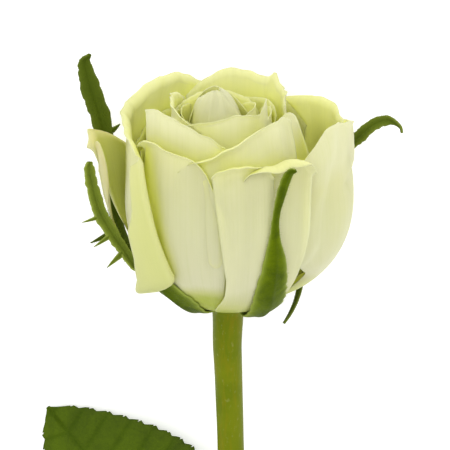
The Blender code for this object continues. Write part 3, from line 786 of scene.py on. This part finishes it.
def ribbonGrid(sepal, rows, columns):
    # stations are (turn, radius, height, half width, twist) along the midrib, in the flower's own frame
    path = smoothThrough(sepal["stations"], np.linspace(0, 1, rows))
    middle = polar(path[:, 0], path[:, 1], path[:, 2])
    along = unit(np.gradient(middle, axis=0))
    back = np.stack([middle[:, 0], middle[:, 1], -0.6 * (31 - np.minimum(middle[:, 2], 31))], -1)
    side = unit(np.cross(along, back))
    back = unit(np.cross(side, along))
    across = np.linspace(-1, 1, columns)
    half = path[:, 3]
    ragged = np.array([[noise.noise(Vector((k * 0.55, sign * 9.7, sepal["seed"]))) for k in range(rows)]
                       for sign in (-1, 1)])
    twist = np.radians(path[:, 4])[:, None]
    side, back = side * np.cos(twist) + back * np.sin(twist), back * np.cos(twist) - side * np.sin(twist)
    grid = np.zeros((rows, columns, 3))
    for j, spot in enumerate(across):
        edge = half * (1 + sepal["teeth"] * ragged[0 if spot < 0 else 1] * abs(spot) ** 2)
        lift = sepal["cup"] * half * spot ** 2 - 0.10 * half * np.exp(-(spot / 0.16) ** 2)
        grid[:, j] = middle + side * (edge * spot)[:, None] - back * lift[:, None]
    return grid, side, back


sepals = [
    {"node": "sepal_front", "seed": 1, "cup": 0.20, "teeth": 0.10, "stations": (
        (-52, 7.0, 1.9, 2.8, 0), (-54, 12.5, 2.4, 4.2, 0), (-59, 18.8, 6.2, 4.7, 0),
        (-64, 24.2, 12.4, 4.4, 0), (-66, 28.2, 21.3, 3.3, 0), (-67, 29.2, 30.0, 1.4, 0),
        (-66.5, 29.5, 36.0, 0.95, 0), (-63.5, 29.9, 42.5, 1.3, 0), (-61, 30.6, 46.6, 1.2, 0),
        (-59, 31.8, 47.6, 0.4, 0)), "lobes": ()},
    {"node": "sepal_front_left", "seed": 2, "cup": 0.14, "teeth": 0.25, "stations": (
        (-132, 7.0, 1.9, 2.8, 0), (-133, 13.4, 3.6, 5.2, 0), (-135, 19.8, 9.0, 6.6, 0),
        (-141, 23.2, 13.6, 4.4, 10), (-156, 24.8, 14.6, 1.8, 50), (-168, 26.3, 17.4, 1.5, 70),
        (-170, 29.4, 22.4, 1.6, 75), (-170, 32.4, 28.4, 1.7, 75), (-170, 34.0, 34.6, 1.6, 75),
        (-171, 34.8, 39.6, 1.3, 75), (-171, 34.6, 41.4, 0.7, 75)),
     "lobes": ((0.50, 1, 5.0, 0.8, -0.3), (0.60, 1, 4.0, 0.6, 0.0), (0.69, 1, 3.4, 0.5, 0.2))},
    {"node": "sepal_back_left", "shade": 0.3, "seed": 3, "cup": 0.10, "teeth": 0.20, "stations": (
        (150, 7.0, 1.9, 2.6, 0), (150, 13.0, 1.4, 4.0, 0), (152, 21.0, 3.6, 4.0, 0),
        (154, 29.2, 12.0, 2.4, 0), (156, 32.6, 27.0, 1.9, 30), (157, 34.0, 43.0, 2.3, 50),
        (160, 36.4, 54.0, 2.5, 60), (161, 37.8, 61.0, 1.6, 60), (162, 36.2, 63.6, 0.5, 60)),
     "lobes": ((0.42, 1, 9.0, 1.1, 0.1), (0.62, -1, 2.4, 0.7, 0.5))},
    {"node": "sepal_back_right", "shade": 0.5, "seed": 4, "cup": 0.10, "teeth": 0.20, "stations": (
        (78, 7.0, 1.9, 2.6, 0), (74, 13.0, 1.4, 4.0, 0), (66, 21.0, 3.4, 3.8, 0),
        (54, 29.4, 10.0, 2.4, 0), (40, 33.6, 24.0, 1.5, 0), (28, 34.6, 36.6, 1.6, 0),
        (24, 36.9, 40.8, 1.9, 0), (20.7, 39.6, 44.1, 1.6, 0), (17.8, 42.5, 45.5, 1.2, 0),
        (15.6, 44.7, 44.3, 0.8, 0), (15, 45.2, 42.6, 0.4, 0)), "lobes": ()},
    {"node": "sepal_right", "shade": 0.4, "seed": 5, "cup": 0.10, "teeth": 0.15, "stations": (
        (16, 7.0, 1.9, 2.4, 0), (22, 12.0, 1.7, 3.0, 0), (28, 17.5, 3.7, 2.2, 0),
        (30, 20.3, 5.2, 1.3, 0), (26, 20.4, 3.0, 1.1, 0), (19, 18.6, 0.2, 0.95, 0),
        (12, 16.4, -2.6, 0.75, 0), (6, 14.2, -5.0, 0.3, 0)), "lobes": ()},
]


sepalHairs = {"Spacing": 0.00055, "Hair length": 0.0008, "Hair thickness": 0.00004, "Lean": 0.45}


def makeSepal(sepal):
    node = sepal["node"]
    rows, columns = 90, 15
    grid, side, back = ribbonGrid(sepal, rows, columns)
    across = np.abs(np.linspace(-1, 1, columns))[None, :] * np.ones((rows, 1))
    edge = across ** 7
    shade = sepal.get("shade", 1.0)
    parts = [sheetMesh(node, grid, 0.62 - 0.34 * edge, (across, edge), layDown, None, shade)]
    lines = [(grid[6:, 0], -side[6:]), (grid[6:, -1], side[6:])]
    for share, hand, length, half, lean in sepal["lobes"]:
        k = int(share * (rows - 1))
        root = grid[k, -1 if hand > 0 else 0]
        along = unit(grid[min(k + 2, rows - 1), columns // 2] - grid[k - 2, columns // 2])
        out = unit(side[k] * hand + along * lean)
        steps = np.linspace(-0.12, 1, 14)
        widths = np.linspace(-1, 1, 5)
        droop = back[k] * 0.12 * length
        middle = root + out * (steps * length)[:, None] + droop * (np.clip(steps, 0, 1) ** 2)[:, None]
        widthway = unit(np.cross(out, back[k]))
        taper = half * np.clip(1 - np.clip(steps, 0, 1), 0.06, 1) ** 0.7
        blade = middle[:, None, :] + widthway * (taper[:, None] * widths[None, :])[..., None]
        flat = np.abs(widths)[None, :] * np.ones((len(steps), 1))
        tones = (flat, flat ** 6)
        parts.append(sheetMesh(node + "Lobe", blade, 0.4 - 0.15 * flat, tones, layDown, None, shade))
        lines += [(blade[2:, column], np.tile(widthway * sign, (len(steps) - 2, 1)))
                  for column, sign in ((0, -1), (-1, 1))]
    lines = [(laid(line), unit(turned(away))) for line, away in lines]
    parts.append(growBristles(lines, {**sepalHairs, "Seed": sepal["seed"]}, sepalSkin))
    mesh = joined(inCamel(node), parts, sepalSkin)
    return finishPiece(inCamel(node), mesh, sepalSkin, "sepal", node)


for sepal in sepals:
    makeSepal(sepal)
print("sepals made")


# stem with its receptacle and prickles

stem = {"length": 232, "radius": 3.3, "seat": 2.5, "nodes": (120, 180), "sides": 40, "rings": 220,
        "cut": {"slope": 40, "rise": 3.0, "reach": 12},
        "receptacle": ((0.0, 6.2), (0.25, 6.7), (0.6, 6.8), (1.2, 6.7), (1.9, 5.4), (2.6, 4.3), (3.4, 4.05))}
prickles = {"places": ((58, -150), (83, 15), (108, -70), (139, -170), (161, -20), (196, -135), (212, 10)),
            "length": 5.0, "foot": 2.2, "hook": 0.35, "sunk": 0.4}


def stemCentre(depth):
    share = depth / stem["length"]
    lean = 3.2 * share * (1 - share) + np.sin(math.tau * share) - 0.6 * smoothStep(depth / 12)
    return np.stack([lean, 1.2 * np.sin(math.pi * share), -depth], -1)


def stemRadius(depth):
    swelling = sum(0.5 * np.exp(-((depth - place) / 5) ** 2) for place in stem["nodes"])
    return stem["radius"] + 0.7 * np.exp(-depth / 16) + swelling + 0.25 * depth / stem["length"]


def tubeFaces(rings, sides):
    faces = []
    for i in range(rings - 1):
        for k in range(sides):
            n = (k + 1) % sides
            faces.append((i * sides + k, (i + 1) * sides + k, (i + 1) * sides + n, i * sides + n))
    faces.append(tuple(range(sides)))
    faces.append(tuple(range((rings - 1) * sides, rings * sides))[::-1])
    return faces


def makePrickleTree():
    sizes = {"Length": 0.005, "Foot radius": 0.002, "Hook": 0.3}
    tree, given = newShapeTree("pricklesOnStem", "Roots", sizes, "Prickles")
    cone = addNode(tree, "GeometryNodeMeshCone", fill_type="NGON")
    cone.inputs["Vertices"].default_value = 16
    cone.inputs["Side Segments"].default_value = 12
    cone.inputs["Radius Top"].default_value = 0.00006
    split = addNode(tree, "ShaderNodeSeparateXYZ")
    shaped = addNode(tree, "ShaderNodeCombineXYZ")
    place = addNode(tree, "GeometryNodeSetPosition")
    align = addNode(tree, "FunctionNodeAlignRotationToVector", axis="Z")
    turnHook = addNode(tree, "FunctionNodeAlignRotationToVector", axis="Y", pivot_axis="Z")
    # narrow across the stem, slimmer towards the point, and hooked
    share = addMath(tree, "DIVIDE", split.outputs["Z"], given["Length"])
    waist = addMath(tree, "SUBTRACT", 1.0, addMath(tree, "MULTIPLY", share, 0.45))
    slimness = addMath(tree, "MULTIPLY", waist, waist)
    hook = addMath(tree, "MULTIPLY", addMath(tree, "POWER", share, 2.0),
                   addMath(tree, "MULTIPLY", given["Hook"], given["Length"]))
    x = addMath(tree, "MULTIPLY", addMath(tree, "MULTIPLY", split.outputs["X"], 0.55), slimness)
    y = addMath(tree, "SUBTRACT", addMath(tree, "MULTIPLY", split.outputs["Y"], slimness), hook)
    placeCopies(tree, given, given["Roots"], place.outputs["Geometry"], turnHook.outputs["Rotation"])
    linkUp(tree,
           (given["Length"], cone.inputs["Depth"]), (given["Foot radius"], cone.inputs["Radius Bottom"]),
           (addNode(tree, "GeometryNodeInputPosition").outputs[0], split.inputs[0]),
           (x, shaped.inputs["X"]), (y, shaped.inputs["Y"]), (split.outputs["Z"], shaped.inputs["Z"]),
           (cone.outputs["Mesh"], place.inputs["Geometry"]), (shaped.outputs[0], place.inputs["Position"]),
           (namedDirection(tree, "away"), align.inputs["Vector"]),
           (align.outputs["Rotation"], turnHook.inputs["Rotation"]),
           (namedDirection(tree, "down"), turnHook.inputs["Vector"]))
    return tree


def growPrickles():
    roots, aways, downs = [], [], []
    for depth, turn in prickles["places"]:
        out = polar(turn, 1.0, 0.0)
        roots.append(laid(stemCentre(np.float64(depth)) + out * (stemRadius(depth) - prickles["sunk"])))
        aways.append(unit(turned(out)))
        downs.append(unit(turned(np.array((0, 0, 1.0)))))
    settings = {"Length": prickles["length"] * mm, "Foot radius": prickles["foot"] * mm,
                "Hook": prickles["hook"], "Skin": stemRind}
    return grown(makePrickleTree(), roots, [], {"away": aways, "down": downs}, settings)


def makeStem():
    sides = stem["sides"]
    cut = stem["cut"]
    # receptacle is the cushion under the sepals, as (drop, radius) from its seat down
    rings = [(np.array((0, 0, stem["seat"] - drop)), radius, 0) for drop, radius in stem["receptacle"]]
    for depth in np.linspace(1.5, stem["length"], stem["rings"]):
        rings.append((stemCentre(depth), float(stemRadius(depth)), depth))
    points = []
    last = stem["length"]
    for centre, radius, depth in rings:
        for k in range(sides):
            turn = math.tau * k / sides
            spot = Vector((math.cos(turn) * 1.3, math.sin(turn) * 1.3, depth * 0.09))
            rough = 1 + 0.018 * noise.noise(spot)
            x = centre[0] + radius * rough * math.cos(turn)
            y = centre[1] + radius * rough * math.sin(turn)
            z = centre[2]
            # the foot is cut at a slant
            cutAt = -last + cut["rise"] + y * math.tan(math.radians(cut["slope"]))
            points.append((x, y, max(z, cutAt) if depth > last - cut["reach"] else z))
    faces = tubeFaces(len(rings), sides)
    mesh = bpy.data.meshes.new("stemBody")
    mesh.from_pydata(laid(np.array(points)).tolist(), [], faces)
    mesh.validate()
    return mesh


stemMesh = joined("stemAndPrickles", [makeStem(), growPrickles()], stemRind)
stemMesh.set_sharp_from_angle(angle=math.radians(48))
finishPiece("stemAndPrickles", stemMesh, stemRind, "stem", "stem")
print("stem made")


# leaves, drawn on the table round the stem node that each grows from

leafSizes = {"slimSide": 0.85, "thickness": 0.34, "stalkRadius": 0.95, "gap": 0.3,
             "toothSpacing": 3.4, "toothReach": 0.115}
stalkHairs = {"Spacing": 0.0012, "Hair length": 0.0009, "Hair thickness": 0.00006, "Lean": 0.5, "Seed": 11}
upperLeaf = {
    "name": "upper_leaf", "depth": 120, "hand": -1,
    "stalk": ((-6.4, 10.0, 12.5), (-6.8, 20.0, 8.6), (-7.0, 31.0, 6.4), (-9.0, 39.0, 5.4)),
    "leaflets": (("tip", 1.0, (-47.1, 84.1), 25.5, 2.2), ("left", 0.62, (-51.0, 11.0), 15.0, 3.0),
                 ("right", 0.66, (40.0, 44.0), 11.0, 2.2)),
}
lowerLeaf = {
    "name": "lower_leaf", "depth": 180, "hand": 1,
    "stalk": ((8.0, 9.0, 7.6), (16.0, 20.0, 5.8), (29.0, 35.0, 5.0), (36.0, 46.0, 4.4)),
    "leaflets": (("tip", 1.0, (60.0, 92.0), 14.5, 3.0), ("left_far", 0.76, (8.0, 74.0), 10.0, 2.4),
                 ("right_far", 0.76, (72.0, 28.0), 12.0, 2.6), ("left_near", 0.56, (-12.0, 42.0), 7.0, 1.0),
                 ("right_near", 0.52, (50.0, -2.0), 10.0, 2.4)),
}


def leafletGrid(base, tip, halfWidth, arch, seed):
    rows, columns = 260, 41
    along = tip - base
    length = np.linalg.norm(along)
    flat = unit(np.array((along[0], along[1], 0.0)))
    side = np.array((flat[1], -flat[0], 0.0))
    across = np.linspace(-1, 1, columns)
    teeth = max(int(length / leafSizes["toothSpacing"]), 8)
    grid = np.zeros((rows, columns, 3))
    ribbing = np.zeros((rows, columns))
    for i in range(rows):
        share = i / (rows - 1)
        outline = max(math.sin(math.pi * share ** 0.8), 0.0) ** 0.75 * (1 - 0.25 * share)
        outline *= 1 - 0.75 * math.exp(-(1 - share) * length / 1.1)
        half = max(halfWidth * outline, 0.45)
        archHere = arch * math.sin(math.pi * share)
        for j, spot in enumerate(across):
            # teeth lean towards the tip, and each side vein runs out to one
            toothPhase = (share * teeth + (0.25 if spot < 0 else 0.0)) % 1.0
            saw = toothPhase ** 1.3 if toothPhase < 0.88 else (1 - toothPhase) / 0.12 * 0.88 ** 1.3
            tooth = leafSizes["toothReach"] * min(halfWidth, 18) * (saw - 0.4) * smoothStep(outline * 4.0)
            reach = half * spot * (leafSizes["slimSide"] if spot < 0 else 1)
            reach += math.copysign(tooth, spot) * abs(spot) ** 6
            veinPhase = (share * teeth * 0.55 - abs(spot) * 1.35 * half / halfWidth) % 1.0
            vein = math.exp(-(min(veinPhase, 1 - veinPhase) / 0.10) ** 2) * smoothStep(abs(spot) * 8)
            puff = math.sin(math.pi * veinPhase) * smoothStep(abs(spot) * 5) * (1 - abs(spot) ** 6)
            rib = math.exp(-(abs(half * spot) / 0.55) ** 2)
            ripple = 0.8 * noise.noise(Vector((share * 5.0, spot * 1.1, seed))) * spot ** 2
            height = archHere * (1 - 0.55 * spot ** 2) + 0.06 * half * abs(spot)
            height += 0.30 * puff - 0.22 * vein - 0.35 * rib + ripple * smoothStep(outline * 2)
            centre = base + along * share
            grid[i, j] = centre + side * reach + np.array((0, 0, height))
            ribbing[i, j] = max(vein * 0.8, rib)
    grid[..., 2] = np.maximum(grid[..., 2], leafSizes["thickness"] / 2)
    edge = np.abs(across)[None, :] ** 12 * np.ones((rows, 1))
    return grid, 1 - 0.8 * ribbing, edge * 0.35


def makeLeaf(leaf):
    name = leaf["name"]
    node = laid(stemCentre(np.float64(leaf["depth"]))) / mm
    start = node + np.array((leaf["hand"] * (float(stemRadius(leaf["depth"])) + leafSizes["gap"]), 0, 0))
    route = [start, start + np.array((leaf["hand"] * 2.0, 0.9, 0))]
    route += [np.array((node[0] + x, node[1] + y, z)) for x, y, z in leaf["stalk"]]
    samples = 81
    centres = smoothThrough(np.array(route), np.linspace(0, 1, samples))
    radii = leafSizes["stalkRadius"] * (1.1 - 0.35 * np.linspace(0, 1, samples))
    sides = 16
    direction = unit(np.gradient(centres, axis=0))
    points = []
    for k in range(samples):
        across = unit(np.cross(direction[k], np.array((0, 0, 1.0))))
        up = np.cross(across, direction[k])
        for turn in np.arange(sides) * math.tau / sides:
            # a groove runs along the top of the stalk
            groove = 1 - 0.28 * math.exp(-((turn - math.pi / 2) / 0.5) ** 2)
            points.append(centres[k] + (across * math.cos(turn) + up * math.sin(turn)) * radii[k] * groove)
    mesh = bpy.data.meshes.new(name + "Stalk")
    mesh.from_pydata((np.array(points) * mm).tolist(), [], tubeFaces(samples, sides))
    lines = []
    for hand in (-1, 1):
        across = unit(np.cross(direction, np.array((0, 0, 1.0))))
        lines.append(((centres + across * (hand * radii * 0.9)[:, None])[6:] * mm, across[6:] * hand))
    stalk = inCamel(name) + "Stalk"
    mesh = joined(stalk, [mesh, growBristles(lines, stalkHairs, leafSkin)], leafSkin)
    finishPiece(stalk, mesh, leafSkin, "leaf", name + "_stalk")
    for seed, (blade, share, tipAt, half, arch) in enumerate(leaf["leaflets"]):
        tip = np.array((node[0] + tipAt[0], node[1] + tipAt[1], 0.3))
        k = round(share * 20) * 4
        along = direction[k]
        if share < 1:
            toTip = tip - centres[k]
            out = unit(toTip - along * (toTip @ along))
            base = centres[k] + out * (radii[k] + 1.3 * leafSizes["gap"])
        else:
            base = centres[k] + along * leafSizes["gap"]
        grid, rise, edge = leafletGrid(base, tip, half, arch, seed + leaf["depth"])
        thickness = leafSizes["thickness"] * np.ones(grid.shape[:2])
        leaflet = f"{name}_leaflet_{blade}"
        # the upper face is the sheet's outer side
        mesh = sheetMesh(inCamel(leaflet), grid[:, ::-1], thickness, (rise[:, ::-1], edge[:, ::-1]),
                         Matrix.Scale(mm, 4))
        finishPiece(inCamel(leaflet), mesh, leafSkin, "leaf", leaflet)


makeLeaf(upperLeaf)
makeLeaf(lowerLeaf)
print("leaves made")


# floor, light and camera

studio = {"floor": 3.0, "floorDrop": 0.0004, "floorTone": 0.94, "floorGlow": 0.3, "sky": 0.96,
          "key": 6.2, "keySize": 0.9, "keyPlace": (-0.25, 0.72, 1.15),
          "fill": 0.2, "fillSize": 1.2, "fillPlace": (0.7, -0.2, 1.0), "lightAim": (0, 0.1, 0.02)}

floorMesh = bpy.data.meshes.new("tableTop")
half = studio["floor"] / 2
floorMesh.from_pydata([(x * half, y * half, -studio["floorDrop"])
                       for x, y in ((-1, -1), (1, -1), (1, 1), (-1, 1))], [], [(0, 1, 2, 3)])
floorPaint, floorTree, floorShader = newMaterial("paleTable", 0.7)
floorPlace = addNode(floorTree, "ShaderNodeTexCoord")
floorGrain = addNoise(floorTree, floorPlace.outputs["Object"], 40, 3)
shade = studio["floorTone"]
floorColour = addRamp(floorTree, floorGrain, ((0.3, (shade, shade, shade)), (0.7, (shade + 0.02,) * 3)))
floorTree.links.new(floorColour, floorShader.inputs["Base Color"])
floorShader.inputs["Specular IOR Level"].default_value = 0.1
floorShader.inputs["Emission Color"].default_value = (1, 1, 1, 1)
floorShader.inputs["Emission Strength"].default_value = studio["floorGlow"]
floorMesh.materials.append(floorPaint)
table = bpy.data.objects.new("tableTop", floorMesh)
bpy.context.scene.collection.objects.link(table)

world = bpy.data.worlds.new("studioSky")
world.use_nodes = True
world.node_tree.nodes["Background"].inputs["Color"].default_value = (1, 1, 1, 1)
world.node_tree.nodes["Background"].inputs["Strength"].default_value = studio["sky"]
bpy.context.scene.world = world


def addSoftLight(name, place, power, size):
    light = bpy.data.lights.new(name, "AREA")
    light.energy = power
    light.size = size
    lamp = bpy.data.objects.new(name, light)
    lamp.location = place
    toAim = Vector(studio["lightAim"]) - Vector(place)
    lamp.rotation_euler = toAim.to_track_quat("-Z", "Y").to_euler()
    bpy.context.scene.collection.objects.link(lamp)


addSoftLight("keySoftbox", studio["keyPlace"], studio["key"], studio["keySize"])
addSoftLight("fillSoftbox", studio["fillPlace"], studio["key"] * studio["fill"], studio["fillSize"])

# the eye looks at the flower from this far above its horizon; width is what the frame takes in
view = {"elevation": 22, "target": (-0.75, 0, 22.4), "distance": 1000, "width": 112.5}
tilt = math.radians(view["elevation"])
aim = Vector(view["target"])
eye = aim + Vector((0, -math.cos(tilt), math.sin(tilt))) * view["distance"]
cameraData = bpy.data.cameras.new("camera")
cameraData.sensor_width = 36
cameraData.lens = 36 * view["distance"] / view["width"]
cameraData.clip_end = 20
camera = bpy.data.objects.new("camera", cameraData)
worldEye = layDown @ eye
worldAim = layDown @ aim
backward = (worldEye - worldAim).normalized()
upward = (layDown.to_3x3() @ Vector((0, math.sin(tilt), math.cos(tilt)))).normalized()
rightward = upward.cross(backward)
facing = Matrix((rightward, upward, backward)).transposed().to_4x4()
camera.matrix_world = Matrix.Translation(worldEye) @ facing
bpy.context.scene.collection.objects.link(camera)
bpy.context.scene.camera = camera
bpy.context.scene.view_settings.view_transform = "Standard"
print("floor, light and camera made")
